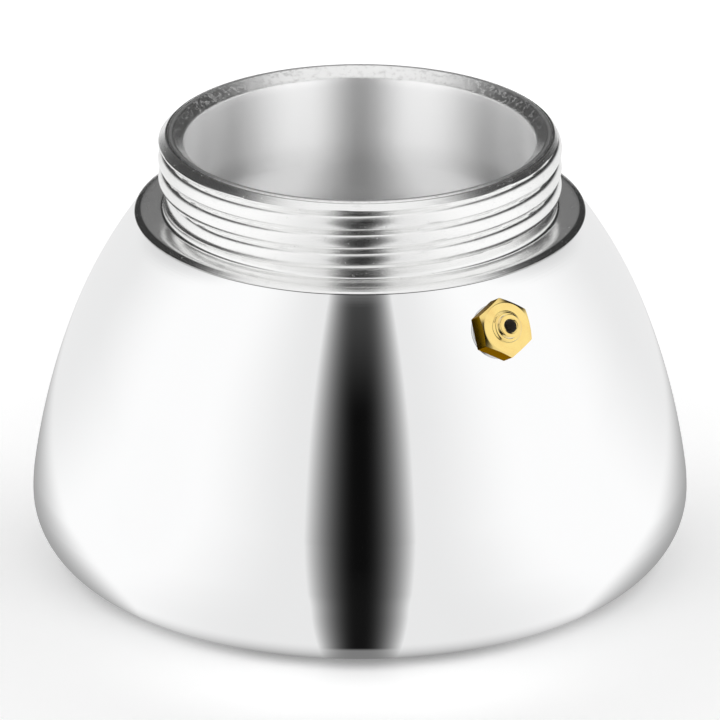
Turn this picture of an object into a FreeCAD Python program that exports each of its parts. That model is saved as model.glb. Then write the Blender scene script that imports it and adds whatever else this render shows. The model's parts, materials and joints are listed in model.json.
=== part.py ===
import FreeCAD, Part
import math
import os

from Sketcher import Constraint

# Boiler of a moka pot: a turned inner vessel with a threaded neck, a thin outer jacket round it,
# and a spring-loaded safety valve screwed through both walls.
# Millimetres, +Z up, origin at the centre of the base, on the plane that the boiler stands on.
# The valve's own pieces are drawn about their own Z axis, which points outwards, with zero on the
# jacket's outer surface, and are then placed on the dome.

SIZES = [
    ("dome_radius", 57.4, "largest radius of the jacket"),
    ("corner_arc", 11.25, "radius of the rounded bottom corner"),
    ("low_arc", 30.0, "radius of the dome's lowest arc"),
    ("low_angle", 8.23, "slope of the surface normal where the lowest arc ends, degrees"),
    ("mid_arc", 128.0, "radius of the dome's middle arc"),
    ("mid_angle", 20.0, "slope of the surface normal where the middle arc ends, degrees"),
    ("top_arc", 85.0, "radius of the dome's top arc"),
    ("jacket_wall", 0.6, "sheet thickness of the jacket"),
    ("jacket_gap", 0.1, "film between the jacket and the vessel"),
    ("jacket_edge", 62.8, "height of the jacket's trimmed top edge"),
    ("jacket_hole", 3.8, "radius of the jacket's valve hole"),
    ("vessel_wall", 3.2, "wall and floor thickness of the vessel"),
    ("inner_arc", 40.0, "radius of the inside of the vessel's shoulder"),
    ("throat_arc", 8.0, "radius that rounds the shoulder's inside into the bore"),
    ("ring_radius", 39.0, "outer radius of the shoulder ring"),
    ("ring_under", 62.9, "height of the shoulder ring's underside"),
    ("ring_edge", 63.1, "height of the shoulder ring's rim below its bevel"),
    ("ring_bevel", 1.1, "radial width of the shoulder ring's bevel"),
    ("ring_top", 63.6, "height of the shoulder ring's flat top"),
    ("neck_fillet", 0.8, "radius at the foot of the neck"),
    ("neck_radius", 33.85, "root radius of the neck's thread"),
    ("total_height", 77.35, "height of the lip"),
    ("lip_outer", 33.3, "outer radius of the lip's flat top"),
    ("lip_inner", 32.0, "inner radius of the lip's flat top"),
    ("bore_radius", 30.2, "radius of the bore that the funnel drops into"),
    ("bore_chamfer", 1.75, "width of the chamfer between lip and bore"),
    ("thread_crest", 34.8, "crest radius of the neck's thread"),
    ("thread_pitch", 3.4, "rise of the neck's thread in one turn"),
    ("thread_width", 1.25, "half width of the ridge at its foot"),
    ("thread_land", 0.6, "half width of the ridge where its rounded crest starts"),
    ("thread_round", 0.35, "height of the ridge's rounded crest"),
    ("thread_start", 66.05, "height of the ridge's middle at its lower end"),
    ("thread_rise", 12.9, "rise of the ridge from its lower end until it is clear of the lip"),
    ("thread_bite", 0.3, "how far the ridge's foot reaches into the neck"),
    ("lead_reach", 3.5, "how far the thread's lead-in cut reaches from the lip"),
    ("valve_slope", 30.85, "slope of the valve's axis above the horizontal, degrees"),
    ("valve_azimuth", -58.6, "bearing of the valve from +X towards +Y, degrees"),
    ("valve_turn", -3.7, "how far the screwed-in valve is turned about its axis, degrees"),
    ("boss_radius", 6.5, "radius of the vessel's inside boss for the valve"),
    ("boss_depth", 7.2, "depth of the boss's end below the jacket's surface"),
    ("boss_stop", 1.0, "depth of the boss's outer end inside the vessel's wall"),
    ("shank_radius", 3.5, "radius of the valve's shank and of its tapped hole"),
    ("shank_depth", 8.2, "depth of the shank's end below the jacket's surface"),
    ("shank_play", 0.03, "clearance of the shank in its hole"),
    ("shank_chamfer", 0.4, "chamfer on the shank's end"),
    ("gasket_play", 0.1, "clearance of the washer round the shank"),
    ("gasket_radius", 4.75, "outer radius of the washer under the hexagon"),
    ("gasket_top", 0.5, "height of the washer above the jacket's surface"),
    ("gasket_sink", 0.05, "how far the washer beds in beside the hole"),
    ("hex_flats", 9.0, "width of the hexagon across its flats"),
    ("hex_height", 3.6, "height of the hexagon"),
    ("hex_face", 4.3, "radius of the hexagon's turned face inside its chamfer"),
    ("hex_bevel", 30.0, "slope of the hexagon's chamfer, degrees"),
    ("spigot_foot", 2.6, "radius of the spigot where it rises from the hexagon"),
    ("spigot_tip", 2.35, "radius of the spigot's end"),
    ("spigot_height", 0.5, "height of the spigot above the hexagon"),
    ("chamber_radius", 2.65, "radius of the spring chamber in the valve's body"),
    ("chamber_top", 2.2, "height of the spring chamber's closed end"),
    ("stem_radius", 2.0, "radius of the stem where it slides in the spigot"),
    ("stem_play", 0.05, "radial clearance of the stem in the spigot"),
    ("stem_tip", 5.45, "height of the stem's end above the jacket's surface"),
    ("stem_chamfer", 0.2, "chamfer on the stem's end"),
    ("stem_waist", 1.9, "radius of the stem inside the spring"),
    ("waist_top", 1.8, "height where the stem widens to its full radius"),
    ("stem_bore", 1.15, "radius of the stem's steam bore"),
    ("stem_blind", 0.2, "height of the steam bore's closed end"),
    ("drill_slope", 30.0, "slope of the end of a drilled hole, degrees"),
    ("vent_radius", 0.55, "radius of the stem's cross holes"),
    ("vent_height", 1.0, "height of the cross holes"),
    ("collar_top", -3.9, "height of the collar that the spring pushes on"),
    ("collar_under", -4.9, "height of the collar's underside"),
    ("collar_radius", 2.55, "radius of the collar"),
    ("notch_radius", 0.55, "radius of the steam notches in the collar's rim"),
    ("notch_offset", 0.1, "how far the notches' centres lie outside the collar's rim"),
    ("peg_radius", 0.8, "radius of the peg that carries the seal"),
    ("peg_end", -5.7, "height of the peg's end"),
    ("seal_radius", 2.2, "radius of the silicone seal"),
    ("seal_under", -5.9, "height of the seal's sealing face"),
    ("seal_chamfer", 0.2, "chamfer on the seal's edge and on the seat's lip"),
    ("seal_play", 0.02, "clearance of the seal round its peg and on the seat"),
    ("seat_lip", 1.95, "outer radius of the seat's raised lip"),
    ("seat_bore", 1.5, "radius of the opening through the seat"),
    ("seat_step", -6.4, "height of the seat's shoulder below its lip"),
    ("slot_width", 0.8, "width of the seat's screwdriver slot"),
    ("slot_depth", 0.7, "depth of the seat's screwdriver slot"),
    ("spring_radius", 2.28, "mean radius of the spring"),
    ("wire_radius", 0.25, "radius of the spring's wire"),
    ("spring_turns", 8.6, "turns of the spring"),
    ("spring_play", 0.02, "clearance at each end of the spring"),
    ("overcut", 1.0, "how far a cutting shape reaches past what it cuts"),
]

UP = FreeCAD.Vector(0, 0, 1)

doc = FreeCAD.newDocument("moka_boiler")
sheet = doc.addObject("Spreadsheet::Sheet", "Sheet")
for row, (name, size, meaning) in enumerate(SIZES, start=1):
    sheet.set("A%d" % row, name)
    sheet.set("B%d" % row, str(size))
    sheet.set("C%d" % row, meaning)
    sheet.setAlias("B%d" % row, name)
doc.recompute()


# Expressions. Each one is text that the sketches and features are bound to.

def on_arc(centre, radius, slope):
    """Point of an arc where its outward normal rises at the given slope."""
    x = "(%s + (%s) * cos(%s))" % (centre[0], radius, slope)
    z = "(%s + (%s) * sin(%s))" % (centre[1], radius, slope)
    return x, z


def top_arc_radius_at(height, inset):
    """Radius of the dome at a height on its top arc, moved inwards by inset."""
    rise = "(%s - %s)" % (height, TOP_CENTRE[1])
    return "(%s + sqrt((%s - (%s)) ^ 2 - %s ^ 2))" % (TOP_CENTRE[0], "Sheet.top_arc", inset, rise)


CORNER_X = "(Sheet.dome_radius - Sheet.corner_arc)"
LOW_CENTRE = ("(Sheet.dome_radius - Sheet.low_arc)", "Sheet.corner_arc")
MID_CENTRE = on_arc(LOW_CENTRE, "Sheet.low_arc - Sheet.mid_arc", "Sheet.low_angle")
TOP_CENTRE = on_arc(MID_CENTRE, "Sheet.mid_arc - Sheet.top_arc", "Sheet.mid_angle")
SKIN = "(Sheet.jacket_wall + Sheet.jacket_gap)"
INSIDE = "(Sheet.jacket_wall + Sheet.jacket_gap + Sheet.vessel_wall)"
HEX_TOP = "(Sheet.gasket_top + Sheet.hex_height)"
SPIGOT_TOP = "(Sheet.gasket_top + Sheet.hex_height + Sheet.spigot_height)"
HEX_CORNER = "(Sheet.hex_flats / (2 * cos(30)))"


def dome_corners(inset):
    """Corners and arcs of the dome from its flat base up to the start of its top arc."""
    return [
        (CORNER_X, inset, "Sheet.corner_arc - " + inset, "left"),
        ("Sheet.dome_radius - " + inset, "Sheet.corner_arc", "Sheet.low_arc - " + inset, "left"),
        on_arc(LOW_CENTRE, "Sheet.low_arc - " + inset, "Sheet.low_angle")
        + ("Sheet.mid_arc - " + inset, "left"),
    ]


def dome_corners_down(inset):
    """The same corners taken downwards, for the inside of a wall."""
    return [
        on_arc(MID_CENTRE, "Sheet.mid_arc - " + inset, "Sheet.mid_angle")
        + ("Sheet.mid_arc - " + inset, "right"),
        on_arc(LOW_CENTRE, "Sheet.low_arc - " + inset, "Sheet.low_angle")
        + ("Sheet.low_arc - " + inset, "right"),
        ("Sheet.dome_radius - " + inset, "Sheet.corner_arc", "Sheet.corner_arc - " + inset, "right"),
        (CORNER_X, inset),
        ("0", inset),
    ]


# Sketches and features.

def read(body, expression):
    """Value of an expression now."""
    return float(body.evalExpression(expression))


def origin_plane(body, role):
    """One of the body's own origin planes."""
    return next(item for item in body.Origin.OriginFeatures if item.Role == role)


def new_body(label):
    """A body for one sub-part."""
    body = doc.addObject("PartDesign::Body", label)
    body.Label = label
    return body


def new_sketch(body, name, role="XZ_Plane"):
    """An empty sketch on one of the body's origin planes."""
    sketch = body.newObject("Sketcher::SketchObject", name)
    sketch.AttachmentSupport = [(origin_plane(body, role), "")]
    sketch.MapMode = "FlatFace"
    return sketch


def bind(sketch, constraint, expression):
    """Add a sized constraint and bind its size to an expression."""
    index = sketch.addConstraint(constraint)
    sketch.setExpression("Constraints[%d]" % index, expression)


def arc_between(start, end, radius, turn):
    """Arc of a circle from start to end, shorter way, and the positions of its two ends."""
    chord = end - start
    middle = (start + end) * 0.5
    side = FreeCAD.Vector(-chord.y, chord.x, 0)
    side.normalize()
    reach = math.sqrt(max(radius ** 2 - (chord.Length / 2) ** 2, 0.0))
    centre = middle + side * (reach if turn == "left" else -reach)
    circle = Part.Circle(centre, UP, radius)
    angles = [math.atan2(point.y - centre.y, point.x - centre.x) for point in (start, end)]
    if turn == "left":
        return Part.ArcOfCircle(circle, angles[0], angles[1]), (1, 2)
    return Part.ArcOfCircle(circle, angles[1], angles[0]), (2, 1)


def outline(body, name, corners):
    """Closed outline in the body's XZ plane, from corners given as expressions.

    A corner is (x, z), with a straight edge to the next corner, or (x, z, radius, turn), with an
    arc that turns left or right on its way to the next corner.
    """
    sketch = new_sketch(body, name)
    places = [FreeCAD.Vector(read(body, corner[0]), read(body, corner[1]), 0) for corner in corners]
    ends = []
    for number, corner in enumerate(corners):
        start = places[number]
        end = places[(number + 1) % len(corners)]
        if len(corner) == 2:
            sketch.addGeometry(Part.LineSegment(start, end))
            ends.append((1, 2))
            continue
        arc, positions = arc_between(start, end, read(body, corner[2]), corner[3])
        sketch.addGeometry(arc)
        ends.append(positions)
    for number, corner in enumerate(corners):
        following = (number + 1) % len(corners)
        first = ends[number][0]
        sketch.addConstraint(Constraint("Coincident", number, ends[number][1], following, ends[following][0]))
        for kind, axis, size in (("DistanceX", -2, corner[0]), ("DistanceY", -1, corner[1])):
            if size == "0":
                sketch.addConstraint(Constraint("PointOnObject", number, first, axis))
                continue
            bind(sketch, Constraint(kind, -1, 1, number, first, read(body, size)), size)
        if len(corner) == 4:
            bind(sketch, Constraint("Radius", number, read(body, corner[2])), corner[2])
    return sketch


def turn_solid(body, name, corners, cut=False):
    """Turn an outline about the body's Z axis, to add a solid or to cut one away."""
    sketch = outline(body, name + "_outline", corners)
    kind = "PartDesign::Groove" if cut else "PartDesign::Revolution"
    feature = body.newObject(kind, name)
    feature.Profile = sketch
    feature.ReferenceAxis = (sketch, ["V_Axis"])
    feature.Angle = 360
    return feature


def wind(body, name, sketch, pitch, rise):
    """Sweep a sketch along a right-handed helix about the body's Z axis."""
    feature = body.newObject("PartDesign::AdditiveHelix", name)
    feature.Profile = sketch
    feature.ReferenceAxis = (sketch, ["V_Axis"])
    feature.Mode = "pitch-height-angle"
    feature.LeftHanded = False
    feature.setExpression("Pitch", pitch)
    feature.setExpression("Height", rise)
    return feature


def cylinder(body, kind, name, radius, length, placement):
    """An added or subtracted cylinder at a placement in the body."""
    feature = body.newObject("PartDesign::" + kind + "Cylinder", name)
    feature.setExpression("Radius", radius)
    feature.setExpression("Height", length)
    feature.Placement = placement
    return feature


# Where the valve sits: on the dome's top arc, with its axis along the surface normal.

def valve_place(depth_text="0"):
    """Placement on the valve's axis, at a height above the jacket's outer surface."""
    slope = math.radians(read(sheet, "Sheet.valve_slope"))
    azimuth = math.radians(read(sheet, "Sheet.valve_azimuth"))
    radius, height = (read(sheet, text) for text in on_arc(TOP_CENTRE, "Sheet.top_arc", "Sheet.valve_slope"))
    outward = FreeCAD.Vector(math.cos(azimuth), math.sin(azimuth), 0)
    axis = outward * math.cos(slope) + UP * math.sin(slope)
    base = outward * radius + UP * height + axis * read(sheet, depth_text)
    turn = FreeCAD.Rotation(UP, math.degrees(azimuth)).multiply(
        FreeCAD.Rotation(FreeCAD.Vector(0, 1, 0), 90 - math.degrees(slope)))
    return FreeCAD.Placement(base, turn)


def make_vessel():
    """Turned inner vessel: chamber, shoulder ring, neck, rolled thread and tapped valve boss."""
    body = new_body("vessel")
    inner_mid = on_arc(MID_CENTRE, "Sheet.mid_arc - " + INSIDE + " - Sheet.inner_arc", "Sheet.mid_angle")
    reach = "(Sheet.inner_arc + Sheet.throat_arc)"
    lean = "((Sheet.bore_radius + Sheet.throat_arc - %s) / %s)" % (inner_mid[0], reach)
    rise = "sqrt(1 - %s ^ 2)" % lean
    throat = (
        "%s + Sheet.inner_arc * %s" % (inner_mid[0], lean),
        "%s + Sheet.inner_arc * %s" % (inner_mid[1], rise),
    )
    turn_solid(body, "wall", [("0", SKIN)] + dome_corners(SKIN) + [
        on_arc(MID_CENTRE, "Sheet.mid_arc - " + SKIN, "Sheet.mid_angle")
        + ("Sheet.top_arc - " + SKIN, "left"),
        (top_arc_radius_at("Sheet.ring_under", SKIN), "Sheet.ring_under"),
        ("Sheet.ring_radius", "Sheet.ring_under"),
        ("Sheet.ring_radius", "Sheet.ring_edge"),
        ("Sheet.ring_radius - Sheet.ring_bevel", "Sheet.ring_top"),
        ("Sheet.neck_radius + Sheet.neck_fillet", "Sheet.ring_top", "Sheet.neck_fillet", "right"),
        ("Sheet.neck_radius", "Sheet.ring_top + Sheet.neck_fillet"),
        ("Sheet.neck_radius", "Sheet.total_height - (Sheet.neck_radius - Sheet.lip_outer)"),
        ("Sheet.lip_outer", "Sheet.total_height"),
        ("Sheet.lip_inner", "Sheet.total_height"),
        ("Sheet.bore_radius", "Sheet.total_height - Sheet.bore_chamfer"),
        ("Sheet.bore_radius", "%s + %s * %s" % (inner_mid[1], reach, rise), "Sheet.throat_arc", "left"),
        throat + ("Sheet.inner_arc", "right"),
    ] + dome_corners_down(INSIDE))
    doc.recompute()
    ridge = outline(body, "ridge", [
        ("-Sheet.neck_radius + Sheet.thread_bite", "Sheet.thread_start - Sheet.thread_width"),
        ("-Sheet.neck_radius + Sheet.thread_bite", "Sheet.thread_start + Sheet.thread_width"),
        ("-(Sheet.thread_crest - Sheet.thread_round)", "Sheet.thread_start + Sheet.thread_land",
         "(Sheet.thread_land ^ 2 + Sheet.thread_round ^ 2) / (2 * Sheet.thread_round)", "left"),
        ("-(Sheet.thread_crest - Sheet.thread_round)", "Sheet.thread_start - Sheet.thread_land"),
    ])
    wind(body, "thread", ridge, "Sheet.thread_pitch", "Sheet.thread_rise")
    doc.recompute()
    turn_solid(body, "lead_in", [
        ("Sheet.lip_outer", "Sheet.total_height"),
        ("Sheet.lip_outer + Sheet.lead_reach", "Sheet.total_height - Sheet.lead_reach"),
        ("Sheet.lip_outer + Sheet.lead_reach", "Sheet.total_height + Sheet.lead_reach"),
        ("Sheet.lip_outer - Sheet.overcut", "Sheet.total_height + Sheet.lead_reach"),
        ("Sheet.lip_outer - Sheet.overcut", "Sheet.total_height"),
    ], cut=True)
    doc.recompute()
    boss_start = "-Sheet.boss_depth"
    cylinder(body, "Additive", "valve_boss", "Sheet.boss_radius",
             "Sheet.boss_depth - %s - Sheet.boss_stop" % SKIN, valve_place(boss_start))
    doc.recompute()
    cylinder(body, "Subtractive", "tapped_hole", "Sheet.shank_radius", "Sheet.boss_depth + 2 * Sheet.overcut",
             valve_place(boss_start + " - Sheet.overcut"))
    return body


def make_jacket():
    """Drawn outer skin, open at the top, with a hole for the valve."""
    body = new_body("jacket")
    turn_solid(body, "skin", [("0", "0")] + dome_corners("0") + [
        on_arc(MID_CENTRE, "Sheet.mid_arc", "Sheet.mid_angle") + ("Sheet.top_arc", "left"),
        (top_arc_radius_at("Sheet.jacket_edge", "0"), "Sheet.jacket_edge"),
        (top_arc_radius_at("Sheet.jacket_edge", "Sheet.jacket_wall"), "Sheet.jacket_edge",
         "Sheet.top_arc - Sheet.jacket_wall", "right"),
    ] + dome_corners_down("Sheet.jacket_wall"))
    doc.recompute()
    cylinder(body, "Subtractive", "valve_hole", "Sheet.jacket_hole", "4 * Sheet.overcut",
             valve_place("-2 * Sheet.overcut"))
    return body


def make_valve_gasket():
    """Flat washer between the hexagon and the jacket."""
    body = new_body("valve_gasket")
    turn_solid(body, "washer", [
        ("Sheet.shank_radius + Sheet.gasket_play", "-Sheet.gasket_sink"),
        ("Sheet.gasket_radius", "-Sheet.gasket_sink"),
        ("Sheet.gasket_radius", "Sheet.gasket_top"),
        ("Sheet.shank_radius + Sheet.gasket_play", "Sheet.gasket_top"),
    ])
    return body


def make_valve_body():
    """Brass hexagon with a spigot outside, a shank inside and a stepped bore right through."""
    body = new_body("valve_body")
    sketch = new_sketch(body, "hexagon", "XY_Plane")
    sketch.AttachmentOffset = FreeCAD.Placement(FreeCAD.Vector(0, 0, read(sheet, "Sheet.gasket_top")),
                                                FreeCAD.Rotation())
    corner = read(sheet, HEX_CORNER)
    points = [FreeCAD.Vector(corner * math.cos(math.radians(60 * side)),
                             corner * math.sin(math.radians(60 * side)), 0) for side in range(6)]
    for side in range(6):
        sketch.addGeometry(Part.LineSegment(points[side], points[(side + 1) % 6]))
    guide = sketch.addGeometry(Part.Circle(FreeCAD.Vector(), UP, corner), True)
    sketch.addConstraint(Constraint("Coincident", guide, 3, -1, 1))
    bind(sketch, Constraint("Diameter", guide, 2 * corner), "2 * " + HEX_CORNER)
    for side in range(6):
        sketch.addConstraint(Constraint("Coincident", side, 2, (side + 1) % 6, 1))
        sketch.addConstraint(Constraint("PointOnObject", side, 1, guide))
    for side in range(5):
        sketch.addConstraint(Constraint("Equal", side, side + 1))
    sketch.addConstraint(Constraint("PointOnObject", 0, 1, -1))
    pad = body.newObject("PartDesign::Pad", "hexagon_pad")
    pad.Profile = sketch
    pad.setExpression("Length", "Sheet.hex_height")
    doc.recompute()
    turn_solid(body, "shank", [
        ("0", "-Sheet.shank_depth"),
        ("Sheet.shank_radius - Sheet.shank_play - Sheet.shank_chamfer", "-Sheet.shank_depth"),
        ("Sheet.shank_radius - Sheet.shank_play", "-Sheet.shank_depth + Sheet.shank_chamfer"),
        ("Sheet.shank_radius - Sheet.shank_play", "Sheet.gasket_top + Sheet.overcut"),
        ("Sheet.spigot_foot", "Sheet.gasket_top + Sheet.overcut"),
        ("Sheet.spigot_foot", HEX_TOP),
        ("Sheet.spigot_tip", SPIGOT_TOP),
        ("0", SPIGOT_TOP),
    ])
    doc.recompute()
    turn_solid(body, "chamfer", [
        ("Sheet.hex_face", HEX_TOP),
        ("Sheet.hex_face + 2 * Sheet.overcut", HEX_TOP + " - 2 * Sheet.overcut * tan(Sheet.hex_bevel)"),
        ("Sheet.hex_face + 2 * Sheet.overcut", HEX_TOP),
    ], cut=True)
    doc.recompute()
    turn_solid(body, "bore", [
        ("0", "-Sheet.shank_depth - Sheet.overcut"),
        ("Sheet.chamber_radius", "-Sheet.shank_depth - Sheet.overcut"),
        ("Sheet.chamber_radius", "Sheet.chamber_top"),
        ("Sheet.stem_radius + Sheet.stem_play", "Sheet.chamber_top"),
        ("Sheet.stem_radius + Sheet.stem_play", SPIGOT_TOP + " + Sheet.overcut"),
        ("0", SPIGOT_TOP + " + Sheet.overcut"),
    ], cut=True)
    return body


def make_valve_stem():
    """Hollow stem: steam enters at the cross holes and leaves at the tip."""
    body = new_body("valve_stem")
    turn_solid(body, "spindle", [
        ("0", "Sheet.peg_end"),
        ("Sheet.peg_radius", "Sheet.peg_end"),
        ("Sheet.peg_radius", "Sheet.collar_under"),
        ("Sheet.collar_radius", "Sheet.collar_under"),
        ("Sheet.collar_radius", "Sheet.collar_top"),
        ("Sheet.stem_waist", "Sheet.collar_top"),
        ("Sheet.stem_waist", "Sheet.waist_top"),
        ("Sheet.stem_radius", "Sheet.waist_top + Sheet.stem_radius - Sheet.stem_waist"),
        ("Sheet.stem_radius", "Sheet.stem_tip - Sheet.stem_chamfer"),
        ("Sheet.stem_radius - Sheet.stem_chamfer", "Sheet.stem_tip"),
        ("Sheet.stem_bore + Sheet.stem_chamfer", "Sheet.stem_tip"),
        ("Sheet.stem_bore", "Sheet.stem_tip - Sheet.stem_chamfer"),
        ("Sheet.stem_bore", "Sheet.stem_blind"),
        ("0", "Sheet.stem_blind - Sheet.stem_bore * tan(Sheet.drill_slope)"),
    ])
    doc.recompute()
    for number, axis in enumerate((FreeCAD.Vector(1, 0, 0), FreeCAD.Vector(0, 1, 0))):
        across = FreeCAD.Rotation(UP, axis)
        height = FreeCAD.Vector(0, 0, read(sheet, "Sheet.vent_height"))
        start = height - axis * read(sheet, "Sheet.stem_radius + Sheet.overcut")
        cylinder(body, "Subtractive", "vent_%d" % number, "Sheet.vent_radius",
                 "2 * (Sheet.stem_radius + Sheet.overcut)", FreeCAD.Placement(start, across))
        doc.recompute()
    sketch = new_sketch(body, "notch", "XY_Plane")
    rim = read(sheet, "Sheet.collar_radius")
    circle = sketch.addGeometry(Part.Circle(FreeCAD.Vector(rim, 0, 0), UP, read(sheet, "Sheet.notch_radius")))
    sketch.addConstraint(Constraint("PointOnObject", circle, 3, -1))
    bind(sketch, Constraint("DistanceX", -1, 1, circle, 3, rim), "Sheet.collar_radius + Sheet.notch_offset")
    bind(sketch, Constraint("Radius", circle, read(sheet, "Sheet.notch_radius")), "Sheet.notch_radius")
    notch = body.newObject("PartDesign::Pocket", "steam_notch")
    notch.Profile = sketch
    notch.setExpression("Length", "-Sheet.collar_under + Sheet.overcut")
    doc.recompute()
    notches = body.newObject("PartDesign::PolarPattern", "steam_notches")
    notches.Originals = [notch]
    notches.Axis = (sketch, ["N_Axis"])
    notches.Angle = 360
    notches.Occurrences = 4
    body.Tip = notches
    return body


def make_stem_seal():
    """Silicone disc pushed over the stem's peg."""
    body = new_body("stem_seal")
    turn_solid(body, "disc", [
        ("0", "Sheet.seal_under"),
        ("Sheet.seal_radius - Sheet.seal_chamfer", "Sheet.seal_under"),
        ("Sheet.seal_radius", "Sheet.seal_under + Sheet.seal_chamfer"),
        ("Sheet.seal_radius", "Sheet.collar_under"),
        ("Sheet.peg_radius + Sheet.seal_play", "Sheet.collar_under"),
        ("Sheet.peg_radius + Sheet.seal_play", "Sheet.peg_end - Sheet.seal_play"),
        ("0", "Sheet.peg_end - Sheet.seal_play"),
    ])
    return body


def make_valve_seat():
    """Bush in the shank's inner end, with a raised lip for the seal and a screwdriver slot."""
    body = new_body("valve_seat")
    turn_solid(body, "bush", [
        ("Sheet.seat_bore", "-Sheet.shank_depth"),
        ("Sheet.chamber_radius - Sheet.shank_play", "-Sheet.shank_depth"),
        ("Sheet.chamber_radius - Sheet.shank_play", "Sheet.seat_step"),
        ("Sheet.seat_lip + Sheet.seal_chamfer", "Sheet.seat_step"),
        ("Sheet.seat_lip", "Sheet.seal_under - Sheet.seal_play"),
        ("Sheet.seat_bore", "Sheet.seal_under - Sheet.seal_play"),
    ])
    doc.recompute()
    slot = body.newObject("PartDesign::SubtractiveBox", "slot")
    slot.setExpression("Length", "2 * (Sheet.chamber_radius + Sheet.overcut)")
    slot.setExpression("Width", "Sheet.slot_width")
    slot.setExpression("Height", "Sheet.slot_depth + Sheet.overcut")
    corner = FreeCAD.Vector(-read(sheet, "Sheet.chamber_radius + Sheet.overcut"),
                            -read(sheet, "Sheet.slot_width / 2"),
                            -read(sheet, "Sheet.shank_depth + Sheet.overcut"))
    slot.Placement = FreeCAD.Placement(corner, FreeCAD.Rotation())
    return body


def make_valve_spring():
    """Compression spring between the collar and the closed end of the chamber."""
    body = new_body("valve_spring")
    sketch = new_sketch(body, "wire")
    foot = "Sheet.collar_top + Sheet.spring_play + Sheet.wire_radius"
    centre = FreeCAD.Vector(read(sheet, "Sheet.spring_radius"), read(sheet, foot), 0)
    circle = sketch.addGeometry(Part.Circle(centre, UP, read(sheet, "Sheet.wire_radius")))
    bind(sketch, Constraint("DistanceX", -1, 1, circle, 3, centre.x), "Sheet.spring_radius")
    bind(sketch, Constraint("DistanceY", -1, 1, circle, 3, centre.y), foot)
    bind(sketch, Constraint("Radius", circle, read(sheet, "Sheet.wire_radius")), "Sheet.wire_radius")
    rise = "(Sheet.chamber_top - Sheet.collar_top - 2 * Sheet.spring_play - 2 * Sheet.wire_radius)"
    wind(body, "coil", sketch, rise + " / Sheet.spring_turns", rise)
    return body


VALVE_PIECES = [make_valve_gasket, make_valve_body, make_valve_stem, make_stem_seal,
                make_valve_seat, make_valve_spring]

pieces = [make_vessel(), make_jacket()]
screwed_in = FreeCAD.Rotation(UP, read(sheet, "Sheet.valve_turn"))
for make in VALVE_PIECES:
    piece = make()
    piece.Placement = valve_place().multiply(FreeCAD.Placement(FreeCAD.Vector(), screwed_in))
    pieces.append(piece)
doc.recompute()

faults = [item.Name for item in doc.Objects if "Invalid" in item.State or "Error" in item.State]
if faults:
    raise RuntimeError("these objects failed: " + ", ".join(faults))
for piece in pieces:
    if piece.Shape.isNull() or not piece.Shape.isValid() or len(piece.Shape.Solids) != 1:
        raise RuntimeError(piece.Label + " is not one valid solid")

os.makedirs("parts", exist_ok=True)
for piece in pieces:
    piece.Shape.exportStep("parts/%s.step" % piece.Label)
    box = piece.Shape.BoundBox
    print("%-14s %9.2f mm3  z %.2f to %.2f" % (piece.Label, piece.Shape.Volume, box.ZMin, box.ZMax))
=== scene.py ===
import json
import math

import bpy
from mathutils import Matrix, Vector


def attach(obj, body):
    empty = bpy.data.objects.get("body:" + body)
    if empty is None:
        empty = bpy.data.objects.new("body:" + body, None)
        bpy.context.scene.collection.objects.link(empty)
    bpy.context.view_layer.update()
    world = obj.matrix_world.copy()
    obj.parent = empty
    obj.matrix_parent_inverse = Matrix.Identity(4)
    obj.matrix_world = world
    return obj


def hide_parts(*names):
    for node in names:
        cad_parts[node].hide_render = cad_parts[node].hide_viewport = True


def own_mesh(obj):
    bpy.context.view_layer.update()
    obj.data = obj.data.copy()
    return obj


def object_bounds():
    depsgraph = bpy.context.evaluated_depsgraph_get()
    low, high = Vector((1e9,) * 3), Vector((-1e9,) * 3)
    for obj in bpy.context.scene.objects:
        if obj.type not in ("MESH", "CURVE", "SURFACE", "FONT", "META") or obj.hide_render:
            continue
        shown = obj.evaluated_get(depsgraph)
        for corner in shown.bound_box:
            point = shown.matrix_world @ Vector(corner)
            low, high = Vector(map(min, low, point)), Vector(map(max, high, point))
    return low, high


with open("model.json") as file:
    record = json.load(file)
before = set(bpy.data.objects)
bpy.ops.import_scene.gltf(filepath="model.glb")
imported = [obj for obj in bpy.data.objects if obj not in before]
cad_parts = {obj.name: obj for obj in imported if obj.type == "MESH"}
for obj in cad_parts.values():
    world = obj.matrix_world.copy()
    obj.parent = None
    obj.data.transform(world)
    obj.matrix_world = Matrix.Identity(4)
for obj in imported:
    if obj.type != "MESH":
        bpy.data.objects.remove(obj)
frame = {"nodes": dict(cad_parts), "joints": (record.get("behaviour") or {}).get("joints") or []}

bl_info = {
    "name": "Moka Pot Boiler",
    "version": (1, 0, 0),
    "blender": (4, 5, 0),
    "location": "3D View > Sidebar > Boiler",
    "description": "Builds the finished look of a moka pot's boiler and its safety valve round the CAD frame",
    "category": "Add Mesh",
}

CAD_LOW, CAD_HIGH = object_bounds()
MM = 0.001
SMOOTH_ANGLE = math.radians(32)
BRASS_ANGLE = math.radians(20)
RELIEF_JOINT = next(joint for joint in frame["joints"] if joint["name"] == "relief_slide")
VALVE_AXIS = Vector(RELIEF_JOINT["axis"]).normalized()
VALVE_TRAVEL = RELIEF_JOINT["range_m"][1]
STUDIO_RADIUS = 2.8
CARD_HEIGHT = 0.2 * MM
LIGHT_LEVEL = 1.03


def size(name, description, millimetres, **options):
    """A length property, given in millimetres and held in metres."""
    return bpy.props.FloatProperty(name=name, description=description, default=millimetres * MM,
                                   unit="LENGTH", precision=5, **options)


def slope(name, description, degrees):
    """An angle property, given in degrees."""
    return bpy.props.FloatProperty(name=name, description=description, default=math.radians(degrees),
                                   unit="ROTATION")


def share(name, description, amount):
    """A plain factor."""
    return bpy.props.FloatProperty(name=name, description=description, default=amount, min=0)


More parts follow.
